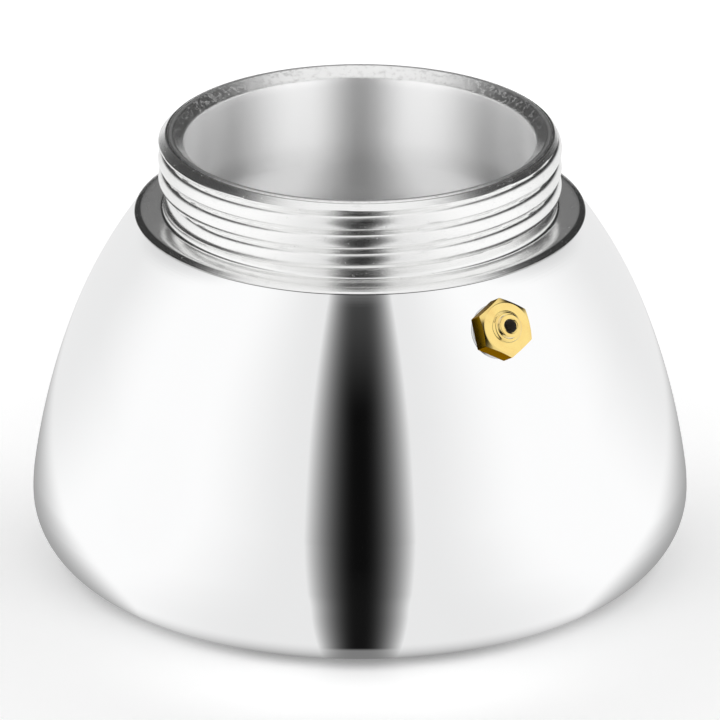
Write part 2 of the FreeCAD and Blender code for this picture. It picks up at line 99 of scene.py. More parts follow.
def tint(name, description, colour):
    """A colour property."""
    return bpy.props.FloatVectorProperty(name=name, description=description, default=colour,
                                         subtype="COLOR", size=3, min=0, max=1)


class BoilerShape(bpy.types.PropertyGroup):
    """Sizes of the jacket, the vessel and the neck's thread."""
    dome_radius: size("Dome radius", "Largest radius of the jacket", CAD_HIGH.x / MM)
    corner_arc: size("Corner arc", "Radius of the rounded bottom corner", 11.25)
    low_arc: size("Low arc", "Radius of the dome's lowest arc", 30)
    low_angle: slope("Low angle", "Slope of the normal where the lowest arc ends", 8.23)
    mid_arc: size("Middle arc", "Radius of the dome's middle arc", 128)
    mid_angle: slope("Middle angle", "Slope of the normal where the middle arc ends", 20)
    top_arc: size("Top arc", "Radius of the dome's top arc", 85)
    jacket_wall: size("Jacket wall", "Sheet thickness of the jacket", 0.6)
    jacket_edge: size("Jacket edge", "Height of the jacket's trimmed edge", 62.8)
    jacket_hole: size("Jacket hole", "Radius of the jacket's valve hole", 3.8)
    skin: size("Skin", "Depth of the vessel's outside below the jacket's outside", 0.7)
    inside: size("Inside", "Depth of the chamber's wall below the jacket's outside", 3.9)
    inner_arc: size("Inner shoulder", "Radius of the inside of the shoulder", 40)
    throat_arc: size("Throat", "Radius that rounds the shoulder's inside into the bore", 8)
    ring_radius: size("Ring radius", "Outer radius of the shoulder ring", 39)
    ring_under: size("Ring underside", "Height of the shoulder ring's underside", 62.9)
    ring_edge: size("Ring rim", "Height of the ring's rim below its bevel", 63.1)
    ring_bevel: size("Ring bevel", "Radial width of the ring's bevel", 1.1)
    ring_top: size("Ring top", "Height of the ring's flat top", 63.6)
    neck_fillet: size("Neck fillet", "Radius at the foot of the neck", 0.8)
    neck_radius: size("Neck radius", "Root radius of the neck's thread", 33.85)
    total_height: size("Height", "Height of the lip", CAD_HIGH.z / MM)
    lip_outer: size("Lip outside", "Outer radius of the lip's flat", 33.3)
    lip_inner: size("Lip inside", "Inner radius of the lip's flat", 32)
    bore_radius: size("Bore", "Radius of the bore", 30.2)
    bore_chamfer: size("Bore chamfer", "Width of the chamfer between lip and bore", 1.75)
    thread_depth: size("Thread depth", "Height of the ridge above its root", 0.95)
    thread_pitch: size("Thread pitch", "Rise of the thread in one turn", 3.4)
    thread_width: size("Thread half width", "Half width of the ridge at its foot", 1.6)
    thread_start: size("Thread start", "Height of the ridge's lower end", 66.05)
    thread_lead: slope("Thread lead", "Turn over which the ridge grows to its full height", 50)


class ValveShape(bpy.types.PropertyGroup):
    """Sizes of the safety valve, with heights measured outwards from the jacket's surface."""
    rise: slope("Axis slope", "Slope of the valve's axis above the horizontal", 30.85)
    clocking: slope("Clocking", "How far the screwed-in valve is turned about its axis", -3.7)
    boss_radius: size("Boss radius", "Radius of the vessel's boss for the valve", 6.5)
    boss_depth: size("Boss depth", "Depth of the boss's end", 7.2)
    shank_radius: size("Shank radius", "Radius of the shank and of its tapped hole", 3.5)
    shank_depth: size("Shank depth", "Depth of the shank's end", 8.2)
    shank_play: size("Shank play", "Clearance of the shank in its hole", 0.03)
    gasket_radius: size("Washer radius", "Outer radius of the washer", 4.75)
    gasket_top: size("Washer top", "Height of the washer", 0.5)
    hex_flats: size("Hexagon", "Width across the flats", 9)
    hex_height: size("Hexagon height", "Height of the hexagon", 3.6)
    hex_face: size("Hexagon face", "Radius of the turned face inside the chamfer", 4.3)
    hex_bevel: slope("Hexagon chamfer", "Slope of the hexagon's chamfer", 30)
    spigot_foot: size("Spigot foot", "Radius of the spigot at the hexagon", 2.6)
    spigot_tip: size("Spigot tip", "Radius of the spigot's end", 2.35)
    spigot_height: size("Spigot height", "Height of the spigot", 0.5)
    chamber_radius: size("Spring chamber", "Radius of the spring chamber", 2.65)
    chamber_top: size("Chamber top", "Height of the chamber's closed end", 2.2)
    stem_radius: size("Stem radius", "Radius of the stem in the spigot", 2)
    stem_play: size("Stem play", "Clearance of the stem in the spigot", 0.05)
    stem_tip: size("Stem tip", "Height of the stem's end", 5.45)
    stem_waist: size("Stem waist", "Radius of the stem inside the spring", 1.9)
    waist_top: size("Waist top", "Height where the stem widens", 1.8)
    stem_bore: size("Steam bore", "Radius of the stem's steam bore", 1.15)
    stem_blind: size("Bore end", "Height of the steam bore's closed end", 0.2)
    vent_radius: size("Vent radius", "Radius of the stem's cross holes", 0.55)
    vent_height: size("Vent height", "Height of the cross holes", 1)
    collar_top: size("Collar top", "Height of the collar's top", -3.9)
    collar_under: size("Collar underside", "Height of the collar's underside", -4.9)
    collar_radius: size("Collar radius", "Radius of the collar", 2.55)
    notch_radius: size("Notch radius", "Radius of the collar's steam notches", 0.55)
    peg_radius: size("Peg radius", "Radius of the peg under the collar", 0.8)
    peg_end: size("Peg end", "Height of the peg's end", -5.7)
    spring_radius: size("Spring radius", "Mean radius of the spring", 2.28)
    wire_radius: size("Wire radius", "Radius of the spring's wire", 0.25)
    spring_turns: share("Spring turns", "Turns of the spring", 8.6)


class BoilerLook(bpy.types.PropertyGroup):
    """Colours of the finishes, levels of the light and the camera's place."""
    steel: tint("Polished steel", "Colour of the mirror jacket", (0.955, 0.957, 0.96))
    turned: tint("Turned aluminium", "Colour of the neck and ring", (0.95, 0.95, 0.945))
    satin: tint("Satin aluminium", "Colour of the chamber's inside", (0.97, 0.97, 0.97))
    brass: tint("Brass", "Colour of the valve", (0.97, 0.74, 0.27))
    # The hexagon's sides get this darkened brass as painted shade.
    brass_side_painted_shade: tint("Brass sides", "Colour of the hexagon's drawn sides", (0.28, 0.17, 0.03))
    silicone: tint("Silicone", "Colour of the seal", (0.78, 0.75, 0.66))
    # The bore streaks are a painted reflection: glow painted on the chamber's satin wall near the mouth.
    streak: share("Bore streaks", "Brightness of the two upright streaks of light in the mouth", 0.42)
    overhead: share("Overhead light", "Brightness of the studio's top", 0.9)
    elevation: slope("Camera elevation", "Slope of the camera's line of sight", 22.99)
    distance: size("Camera distance", "Distance from the camera to its aim", 1150)
    aim: size("Aim height", "Height of the point that the camera looks at", 34.51)
    lens: share("Lens", "Focal length in millimetres", 329.4)


# Shader maths as plain expressions.

class Value:
    """A number or a socket inside a material, with the usual operators."""

    def __init__(self, finish, source):
        self.finish = finish
        self.source = source

    def combine(self, operation, first, second):
        return self.finish.maths(operation, first, second)

    def __add__(self, other):
        return self.combine("ADD", self, other)

    def __radd__(self, other):
        return self.combine("ADD", other, self)

    def __sub__(self, other):
        return self.combine("SUBTRACT", self, other)

    def __rsub__(self, other):
        return self.combine("SUBTRACT", other, self)

    def __mul__(self, other):
        return self.combine("MULTIPLY", self, other)

    def __rmul__(self, other):
        return self.combine("MULTIPLY", other, self)

    def __truediv__(self, other):
        return self.combine("DIVIDE", self, other)

    def __rtruediv__(self, other):
        return self.combine("DIVIDE", other, self)

    def __pow__(self, other):
        return self.combine("POWER", self, other)

    def __rpow__(self, other):
        return self.combine("POWER", other, self)


class Finish:
    """A material under construction."""

    def __init__(self, name):
        self.material = bpy.data.materials.new(name)
        self.material.use_nodes = True
        self.tree = self.material.node_tree
        self.tree.nodes.clear()

    def node(self, kind, settings=None, output=0, **inputs):
        """Add a node, set it up, feed its sockets and return one of its outputs."""
        made = self.tree.nodes.new("ShaderNode" + kind)
        for key, setting in (settings or {}).items():
            setattr(made, key, setting)
        for key, source in inputs.items():
            socket = made.inputs[int(key[1:])] if key[1:].isdigit() else made.inputs[key.replace("_", " ")]
            self.feed(socket, source)
        return Value(self, made.outputs[output]) if made.outputs else None

    def feed(self, socket, source):
        """Give a socket a number, a colour or a link."""
        if isinstance(source, Value):
            self.tree.links.new(source.source, socket)
        else:
            socket.default_value = source

    def maths(self, operation, first, second=0.0):
        return self.node("Math", {"operation": operation}, i0=first, i1=second)

    def fade(self, source, low, high, start=0.0, end=1.0):
        """Smooth step of a value from start at low to end at high."""
        return self.node("MapRange", {"interpolation_type": "SMOOTHSTEP"}, Value=source, i1=low, i2=high,
                         i3=start, i4=end)

    def blend(self, factor, first, second):
        """Mix two colours."""
        return self.node("Mix", {"data_type": "RGBA"}, output=2, i0=factor, i6=first, i7=second)

    def place(self):
        """Object coordinates as a vector."""
        return self.node("TexCoord", output=3)

    def parts(self, vector):
        """The three numbers of a vector."""
        first = self.node("SeparateXYZ", Vector=vector)
        return [Value(self, socket) for socket in first.source.node.outputs]

    def noise(self, vector, scale, detail=3.0, roughness=0.5):
        return self.node("TexNoise", Vector=vector, Scale=scale, Detail=detail, Roughness=roughness)

    def stretched(self, vector, scale):
        """A vector scaled differently along each axis."""
        return self.node("Mapping", Vector=vector, Scale=scale)

    def bump(self, height, strength, distance):
        return self.node("Bump", Height=height, Strength=strength, Distance=distance)

    def surface(self, **inputs):
        """Close the material with a principled surface."""
        return self.output(self.node("BsdfPrincipled", **inputs))

    def lamp(self, strength):
        """Close the material as plain white light."""
        return self.output(self.node("Emission", Color=(1, 1, 1, 1), Strength=strength))

    def grey(self, brightness):
        """Turn a number into a grey colour."""
        return self.blend(brightness, (0, 0, 0, 1), (1, 1, 1, 1))

    def output(self, shader):
        self.node("OutputMaterial", Surface=shader)
        return self.material


def shade(colour, factor=1.0):
    """A colour with its alpha, darkened or lightened."""
    return tuple(min(1.0, channel * factor) for channel in colour) + (1.0,)


# Finishes.

def polished_steel(look):
    """Mirror-polished steel with faint polishing lines round the dome and a few soft smears."""
    finish = Finish("polished_steel")
    place = finish.place()
    x, y, z = finish.parts(place)
    radius = (x * x + y * y) ** 0.5
    lines = finish.noise(finish.node("CombineXYZ", X=radius * 3000, Y=z * 3000, Z=0.0), 1.0, detail=2)
    smear = finish.fade(finish.noise(place, 38, detail=4), 0.55, 0.78)
    roughness = 0.028 + 0.02 * lines + 0.03 * smear
    colour = finish.blend(0.35 * smear, shade(look.steel), shade(look.steel, 0.97))
    normal = finish.bump(lines, 0.012, 0.0001)
    return finish.surface(Base_Color=colour, Metallic=1.0, Roughness=roughness, Normal=normal)


def turned_aluminium(look):
    """Machined aluminium with concentric tool marks, a few casting specks and handling wear."""
    finish = Finish("turned_aluminium")
    place = finish.place()
    x, y, z = finish.parts(place)
    radius = (x * x + y * y) ** 0.5
    marks = finish.noise(finish.node("CombineXYZ", X=radius * 4200, Y=z * 4200, Z=0.0), 1.0, detail=3)
    specks = finish.fade(finish.noise(place, 1500, detail=5, roughness=0.62), 0.6, 0.8)
    mottle = finish.noise(finish.stretched(place, (1, 1, 3.0)), 240, detail=5, roughness=0.6)
    grime = finish.fade(mottle, 0.52, 0.76)
    roughness = 0.15 + 0.1 * marks + 0.2 * specks + 0.08 * grime
    colour = finish.blend(0.5 * specks + 0.2 * grime, shade(look.turned), shade(look.turned, 0.7))
    height = marks * 0.3 + mottle * 0.9 - specks * 0.3
    normal = finish.bump(height, 0.22, 0.0001)
    return finish.surface(Base_Color=colour, Metallic=1.0, Roughness=roughness, Normal=normal,
                          Anisotropic=0.35, Anisotropic_Rotation=0.25)


def satin_aluminium(look):
    """Finely machined inside of the bore and the chamber, whose sheen draws light out into upright streaks;
    two upright streaks of light near the mouth are also painted on as glow, a painted reflection.
    """
    finish = Finish("satin_aluminium")
    place = finish.place()
    x, y, z = finish.parts(place)
    marks = finish.noise(finish.node("CombineXYZ", X=0.0, Y=z * 5200, Z=0.0), 1.0, detail=2)
    cloud = finish.noise(place, 60, detail=3)
    roughness = 0.4 + 0.08 * marks
    colour = finish.blend(cloud * 0.3, shade(look.satin), shade(look.satin, 0.95))
    normal = finish.bump(marks, 0.06, 0.0001)
    # Painted reflection: two upright bands of glow on the rear wall near the mouth stand in for the reflected
    # softboxes.
    bearing = finish.maths("ARCTAN2", finish.maths("ABSOLUTE", x), y) * math.degrees(1)
    streak = finish.fade(bearing, 0, 18) * finish.fade(bearing, 22, 49, 1, 0)
    painted_streak_light = finish.grey(streak * finish.fade(z, 0.04, 0.052) * look.streak)
    return finish.surface(Base_Color=colour, Metallic=0.5, Roughness=roughness, Normal=normal,
                          Anisotropic=0.9, Anisotropic_Rotation=0.25, Emission_Color=painted_streak_light,
                          Emission_Strength=1.0)


def cast_lip(look):
    """Speckled skin of the lip and of the chamfer inside it."""
    finish = Finish("cast_lip")
    place = finish.place()
    specks = finish.fade(finish.noise(place, 1500, detail=6, roughness=0.7), 0.5, 0.72)
    dents = finish.noise(place, 420, detail=4)
    roughness = 0.3 + 0.2 * specks
    colour = finish.blend(0.5 * specks, shade(look.turned), shade(look.turned, 0.74))
    normal = finish.bump(dents - specks * 0.6, 0.4, 0.00012)
    return finish.surface(Base_Color=colour, Metallic=1.0, Roughness=roughness, Normal=normal,
                          Anisotropic=0.4, Anisotropic_Rotation=0.25)


def bright_brass(look):
    """Turned brass with fine rings about the valve's axis and warm handling stains."""
    finish = Finish("bright_brass")
    place = finish.node("VectorMath", {"operation": "SUBTRACT"}, i0=finish.place(), i1=tuple(valve_base()))
    along = finish.node("VectorMath", {"operation": "DOT_PRODUCT"}, output=1, i0=place, i1=tuple(VALVE_AXIS))
    reach = finish.node("VectorMath", {"operation": "LENGTH"}, output=1, i0=place)
    radius = finish.maths("MAXIMUM", reach * reach - along * along, 0.0) ** 0.5
    rings = finish.noise(finish.node("CombineXYZ", X=radius * 9000, Y=along * 9000, Z=0.0), 1.0, detail=2)
    stain = finish.fade(finish.noise(place, 420, detail=4), 0.42, 0.72)
    roughness = 0.07 + 0.06 * rings + 0.06 * stain
    colour = finish.blend(stain * 0.45, shade(look.brass), (0.88, 0.58, 0.2, 1))
    normal = finish.bump(rings + stain * 0.6, 0.06, 0.00005)
    return finish.surface(Base_Color=colour, Metallic=1.0, Roughness=roughness, Normal=normal)


def drawn_brass_painted_shade(look):
    """Duller sides of the drawn hexagon bar that the valve is turned from, their colour darkened far below
    brass as painted shade.
    """
    finish = Finish("drawn_brass_painted_shade")
    place = finish.place()
    stain = finish.fade(finish.noise(place, 420, detail=4), 0.42, 0.72)
    grain = finish.noise(finish.stretched(place, (1, 1, 4)), 1800, detail=3)
    roughness = 0.17 + 0.1 * grain + 0.08 * stain
    colour = finish.blend(stain * 0.5, shade(look.brass_side_painted_shade), shade(look.brass_side_painted_shade, 0.6))
    return finish.surface(Base_Color=colour, Metallic=1.0, Roughness=roughness,
                          Specular_Tint=(0.55, 0.4, 0.12, 1), Normal=finish.bump(grain, 0.1, 0.00005))


def painted_shade_bore(look):
    """Near-black inside of the stem's steam bore, painted shade for the deep narrow hole, with faint random
    variation in its tone.
    """
    finish = Finish("painted_shade_bore")
    crust = finish.noise(finish.place(), 2400, detail=4)
    colour = finish.blend(crust, (0.012, 0.008, 0.004, 1), (0.035, 0.022, 0.01, 1))
    return finish.surface(Base_Color=colour, Metallic=0.0, Roughness=0.7,
                          Normal=finish.bump(crust, 0.3, 0.00005))


def pale_silicone(look):
    """Off-white silicone with a dull, slightly dusty skin."""
    finish = Finish("pale_silicone")
    place = finish.place()
    dust = finish.noise(place, 900, detail=4)
    colour = finish.blend(dust * 0.5, shade(look.silicone), shade(look.silicone, 0.86))
    return finish.surface(Base_Color=colour, Roughness=0.42 + 0.2 * dust, IOR=1.41,
                          Normal=finish.bump(dust, 0.2, 0.00005))


def spring_wire(look):
    """Drawn steel wire with fine marks."""
    finish = Finish("spring_wire")
    place = finish.place()
    draw = finish.noise(place, 4200, detail=3)
    colour = finish.blend(draw * 0.4, shade(look.steel, 0.8), shade(look.steel, 0.62))
    return finish.surface(Base_Color=colour, Metallic=1.0, Roughness=0.2 + 0.18 * draw,
                          Normal=finish.bump(draw, 0.15, 0.00003))


# Modelling helpers.

def valve_base():
    """Point where the valve's axis meets the jacket's outer surface."""
    shape, valve = bpy.context.scene.boiler_shape, bpy.context.scene.boiler_valve
    radius, height = dome_arcs(shape)[-1].point(0, valve.rise)
    outward = Vector((VALVE_AXIS.x, VALVE_AXIS.y, 0)).normalized()
    return outward * radius + Vector((0, 0, height))


def valve_matrix(clocking=0.0):
    """Placement on the jacket of a piece drawn about Z, turned about its axis by the clocking."""
    azimuth = math.atan2(VALVE_AXIS.y, VALVE_AXIS.x)
    tilt = math.pi / 2 - math.asin(VALVE_AXIS.z)
    turn = Matrix.Rotation(azimuth, 4, "Z") @ Matrix.Rotation(tilt, 4, "Y")
    return Matrix.Translation(valve_base()) @ turn @ Matrix.Rotation(clocking, 4, "Z")


class Arc:
    """A stretch of the dome's outline between two slopes of its normal."""

    def __init__(self, centre, radius, start, end):
        self.centre = centre
        self.radius = radius
        self.start = start
        self.end = end

    def point(self, inset, angle):
        reach = self.radius - inset
        return self.centre[0] + reach * math.cos(angle), self.centre[1] + reach * math.sin(angle)

    def points(self, inset, steps, first=0):
        """Points along the arc moved inwards by inset."""
        turn = self.end - self.start
        return [self.point(inset, self.start + turn * step / steps) for step in range(first, steps + 1)]


def dome_arcs(shape):
    """The dome's four tangent arcs, from the flat base up to the jacket's edge."""
    corner = Arc((shape.dome_radius - shape.corner_arc, shape.corner_arc), shape.corner_arc, -math.pi / 2, 0)
    low = Arc((shape.dome_radius - shape.low_arc, shape.corner_arc), shape.low_arc, 0, shape.low_angle)
    shift = low.point(shape.mid_arc, shape.low_angle)
    mid = Arc(shift, shape.mid_arc, shape.low_angle, shape.mid_angle)
    shift = mid.point(shape.top_arc, shape.mid_angle)
    end = math.asin((shape.jacket_edge - shift[1]) / shape.top_arc)
    top = Arc(shift, shape.top_arc, shape.mid_angle, end)
    return [corner, low, mid, top]


def dome_outline(shape, inset, steps, stop=None):
    """Points of the dome from its base to the height stop, moved inwards by inset."""
    arcs = dome_arcs(shape)
    stop = shape.jacket_edge if stop is None else stop
    last = arcs[-1]
    last.end = math.asin((stop - last.centre[1]) / (last.radius - inset))
    points = []
    for arc, count in zip(arcs, steps):
        points += arc.points(inset, count, first=1 if points else 0)
    return points


def line(start, end, steps):
    """Points after start up to and including end."""
    return [(start[0] + (end[0] - start[0]) * step / steps, start[1] + (end[1] - start[1]) * step / steps)
            for step in range(1, steps + 1)]


def bend(centre, radius, start, end, steps):
    """Points of an arc about a centre, between two directions in degrees."""
    turn = math.radians(end - start)
    angles = [math.radians(start) + turn * step / steps for step in range(steps + 1)]
    return [(centre[0] + radius * math.cos(angle), centre[1] + radius * math.sin(angle)) for angle in angles]


def deselect():
    """Leave edit mode and select nothing."""
    if bpy.context.object and bpy.context.object.mode != "OBJECT":
        bpy.ops.object.mode_set(mode="OBJECT")
    bpy.ops.object.select_all(action="DESELECT")


def activate(piece):
    deselect()
    piece.select_set(True)
    bpy.context.view_layer.objects.active = piece


def turned(name, outline, steps, closed=True):
    """Draw an outline of (radius, height) points vertex by vertex and spin it about Z."""
    deselect()
    points = list(outline) + ([outline[0]] if closed else [])
    bpy.ops.mesh.primitive_plane_add(size=MM, location=(points[0][0], 0, points[0][1]))
    piece = bpy.context.object
    piece.name = piece.data.name = name
    bpy.ops.object.transform_apply(location=True, rotation=True, scale=True)
    bpy.ops.object.mode_set(mode="EDIT")
    bpy.ops.mesh.select_all(action="SELECT")
    bpy.ops.mesh.merge(type="CENTER")
    for start, end in zip(points, points[1:]):
        step = (end[0] - start[0], 0, end[1] - start[1])
        bpy.ops.mesh.extrude_vertices_move(TRANSFORM_OT_translate={"value": step})
    bpy.ops.mesh.select_all(action="SELECT")
    bpy.ops.mesh.spin(steps=steps, angle=2 * math.pi, center=(0, 0, 0), axis=(0, 0, 1))
    bpy.ops.mesh.select_all(action="SELECT")
    bpy.ops.mesh.remove_doubles(threshold=0.0015 * MM)
    bpy.ops.mesh.select_all(action="SELECT")
    bpy.ops.mesh.normals_make_consistent(inside=False)
    bpy.ops.object.mode_set(mode="OBJECT")
    return piece


def rod(name, radius, start, end, matrix, sides=64):
    """A cylinder along a placement's Z axis, from one height to another."""
    deselect()
    middle = matrix @ Matrix.Translation((0, 0, (start + end) / 2))
    bpy.ops.mesh.primitive_cylinder_add(vertices=sides, radius=radius, depth=end - start)
    piece = bpy.context.object
    piece.name = name
    piece.matrix_world = middle
    bpy.ops.object.transform_apply(location=True, rotation=True, scale=True)
    return piece


def combine(piece, tool, operation):
    """Apply a boolean with another piece, which is used up."""
    activate(piece)
    modifier = piece.modifiers.new(operation.lower(), "BOOLEAN")
    modifier.operation = operation
    modifier.solver = "EXACT"
    modifier.object = tool
    bpy.ops.object.modifier_apply(modifier=modifier.name)
    mesh = tool.data
    bpy.data.objects.remove(tool)
    bpy.data.meshes.remove(mesh)


def put(piece, matrix):
    """Move a finished piece to its place, and leave its object at the origin."""
    activate(piece)
    piece.matrix_world = matrix
    bpy.ops.object.transform_apply(location=True, rotation=True, scale=True)


def smooth(piece, angle=SMOOTH_ANGLE):
    """Smooth shading, except across real edges."""
    activate(piece)
    bpy.ops.object.shade_smooth_by_angle(angle=angle)


def dress(piece, *materials):
    piece.data.materials.clear()
    for material in materials:
        piece.data.materials.append(material)


def stand_for(piece, node, body):
    """Let a finished piece stand for a CAD node."""
    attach(piece, body)
    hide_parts(node)


class BoilerOperator(bpy.types.Operator):
    """What every builder here shares"""
    bl_options = {"REGISTER", "UNDO"}

    def execute(self, context):
        scene = context.scene
        self.build(scene.boiler_shape, scene.boiler_valve, scene.boiler_look)
        return {"FINISHED"}


class BOILER_OT_jacket(BoilerOperator):
    """Build the mirror-polished outer jacket"""
    bl_idname = "boiler.jacket"
    bl_label = "Jacket"

    def build(self, shape, valve, look):
        outer = dome_outline(shape, 0, (20, 14, 28, 26))
        wall = shape.jacket_wall
        inner = dome_outline(shape, wall, (8, 6, 10, 10))
        centre = [(0, 0), (shape.dome_radius * 0.3, 0), (shape.dome_radius * 0.6, 0)]
        under = [(shape.dome_radius * 0.6, wall), (0, wall)]
        jacket = turned("jacket_shell", centre + outer + inner[::-1] + under, 320, closed=False)
        hole = rod("hole", shape.jacket_hole, -3 * MM, 3 * MM, valve_matrix())
        combine(jacket, hole, "DIFFERENCE")
        smooth(jacket)
        dress(jacket, polished_steel(look))
        stand_for(jacket, "jacket", "boiler")


class BOILER_OT_vessel(BoilerOperator):
    """Build the vessel: neck, thread, lip, shoulder ring, chamber and valve boss"""
    bl_idname = "boiler.vessel"
    bl_label = "Vessel"

    def outline(self, shape):
        """Outline of the vessel without its thread, from the outside of the floor to its inside."""
        arcs = dome_arcs(shape)
        outside = [(0, shape.skin)] + dome_outline(shape, shape.skin, (6, 5, 8, 8), shape.ring_under)
        edge = 0.12 * MM
        ring = [
            (shape.ring_radius - edge, shape.ring_under),
            (shape.ring_radius, shape.ring_under + edge / 2),
            (shape.ring_radius, shape.ring_edge - edge / 2),
            (shape.ring_radius - edge, shape.ring_edge + edge / 2),
        ]
        bevel_end = (shape.ring_radius - shape.ring_bevel, shape.ring_top)
        ring += line(ring[-1], (bevel_end[0] + edge, bevel_end[1] - edge / 2), 3)
        ring += [(bevel_end[0] - edge / 2, bevel_end[1])]
        fillet = bend((shape.neck_radius + shape.neck_fillet, shape.ring_top + shape.neck_fillet),
                      shape.neck_fillet, 270, 180, 8)
        ring += line(ring[-1], fillet[0], 4) + fillet[1:]
        shoulder = shape.total_height - (shape.neck_radius - shape.lip_outer)
        neck = line(fillet[-1], (shape.neck_radius, shoulder), 118)
        rim = 0.15 * MM
        rounding = (shape.lip_outer - shape.lip_inner) / math.sqrt(2)
        lip_middle = (shape.lip_outer + shape.lip_inner) / 2
        crown = bend((lip_middle, shape.total_height - rounding), rounding, 45, 135, 14)
        lip = line(neck[-1], crown[0], 3) + crown[1:]
        chamfer_foot = (shape.bore_radius, shape.total_height - shape.bore_chamfer)
        lip += line(lip[-1], (chamfer_foot[0] + rim, chamfer_foot[1] + rim), 6)
        lip += [(chamfer_foot[0] + rim / 3, chamfer_foot[1] - rim / 3),
                (chamfer_foot[0], chamfer_foot[1] - rim)]
        wall = arcs[2].point(shape.inside, shape.mid_angle)
        middle = (wall[0] - shape.inner_arc * math.cos(shape.mid_angle),
                  wall[1] - shape.inner_arc * math.sin(shape.mid_angle))
        reach = shape.inner_arc + shape.throat_arc
        lean = math.acos((shape.bore_radius + shape.throat_arc - middle[0]) / reach)
        throat = (middle[0] + reach * math.cos(lean), middle[1] + reach * math.sin(lean))
        turn = math.degrees(lean)
        inside = line(lip[-1], (shape.bore_radius, throat[1]), 8)
        inside += bend(throat, shape.throat_arc, 180, 180 + turn, 12)[1:]
        inside += bend(middle, shape.inner_arc, turn, math.degrees(shape.mid_angle), 14)[1:]
        for arc, steps in zip(arcs[2::-1], (10, 6, 8)):
            inside += arc.points(shape.inside, steps)[::-1][1:]
        return outside + ring + neck + lip + inside + [(0, shape.inside)]

    def cut_thread(self, vessel, shape):
        """Raise the rounded ridge of the thread out of the neck's outer wall."""
        foot = shape.ring_top + shape.neck_fillet * 0.9
        for vertex in vessel.data.vertices:
            x, y, z = vertex.co
            radius = math.hypot(x, y)
            if z < foot or radius < shape.lip_outer - 0.01 * MM:
                continue
            height = self.ridge(shape, math.atan2(y, x), z)
            lead_in = shape.lip_outer + shape.total_height - z
            grown = max(radius, min(shape.neck_radius + height, lead_in))
            vertex.co = (x * grown / radius, y * grown / radius, z)

    def ridge(self, shape, bearing, z):
        """Height of the ridge above the neck's root at a bearing and a height."""
        turned_by = (bearing - math.pi) % (2 * math.pi)
        best = 0.0
        for turn in range(5):
            angle = turned_by + 2 * math.pi * turn
            offset = abs(z - shape.thread_start - shape.thread_pitch * angle / (2 * math.pi))
            across = offset / shape.thread_width
            if across > 1:
                continue
            grown = min(1.0, angle / shape.thread_lead)
            grown = grown * grown * (3 - 2 * grown)
            best = max(best, shape.thread_depth * grown * (1 - across ** 2) ** 0.75)
        return best

    def build(self, shape, valve, look):
        vessel = turned("vessel_shell", self.outline(shape), 300, closed=False)
        self.cut_thread(vessel, shape)
        place = valve_matrix()
        boss = rod("boss", valve.boss_radius, -valve.boss_depth, -shape.skin - 1 * MM, place)
        combine(vessel, boss, "UNION")
        hole = rod("hole", valve.shank_radius, -valve.boss_depth - 1 * MM, 1 * MM, place)
        combine(vessel, hole, "DIFFERENCE")
        smooth(vessel)
        dress(vessel, turned_aluminium(look), satin_aluminium(look), cast_lip(look))
        axis = place.inverted()
        chamfer_foot = shape.total_height - shape.bore_chamfer
        for face in vessel.data.polygons:
            x, y, z = face.center
            radius = math.hypot(x, y)
            inwards = face.normal.x * x + face.normal.y * y < -0.05 * radius
            local = axis @ face.center
            on_boss = math.hypot(local.x, local.y) < valve.boss_radius + 0.1 * MM and local.z < -2 * MM
            if z > chamfer_foot and face.normal.z > 0.3 and radius < shape.lip_outer + 0.05 * MM:
                face.material_index = 2
            elif inwards or on_boss or (face.normal.z > 0.5 and z < shape.jacket_edge / 4):
                face.material_index = 1
        stand_for(vessel, "vessel", "boiler")


class BOILER_OT_washer(BoilerOperator):
    """Build the metal washer, squeezed to the dome's curve"""
    bl_idname = "boiler.washer"
    bl_label = "Valve washer"

    def build(self, shape, valve, look):
        inner = valve.shank_radius + 0.1 * MM
        outer = valve.gasket_radius - 0.3 * MM
        top = valve.gasket_top
        side = bend((outer, top / 2), top / 2, -90, 90, 8)
        outline = [(inner, 0)] + line((inner, 0), side[0], 3) + side[1:] + line(side[-1], (inner, top), 3)
        washer = turned("valve_washer", outline, 96)
        around = valve_base().xy.length / math.cos(valve.rise)
        for vertex in washer.data.vertices:
            x, y, z = vertex.co
            sag = x * x / (2 * shape.top_arc) + y * y / (2 * around)
            vertex.co.z = z - sag * (1 - z / top)
        put(washer, valve_matrix())
        smooth(washer)
        dress(washer, spring_wire(look))
        washer.visible_glossy = False
        stand_for(washer, "valve_gasket", "boiler")


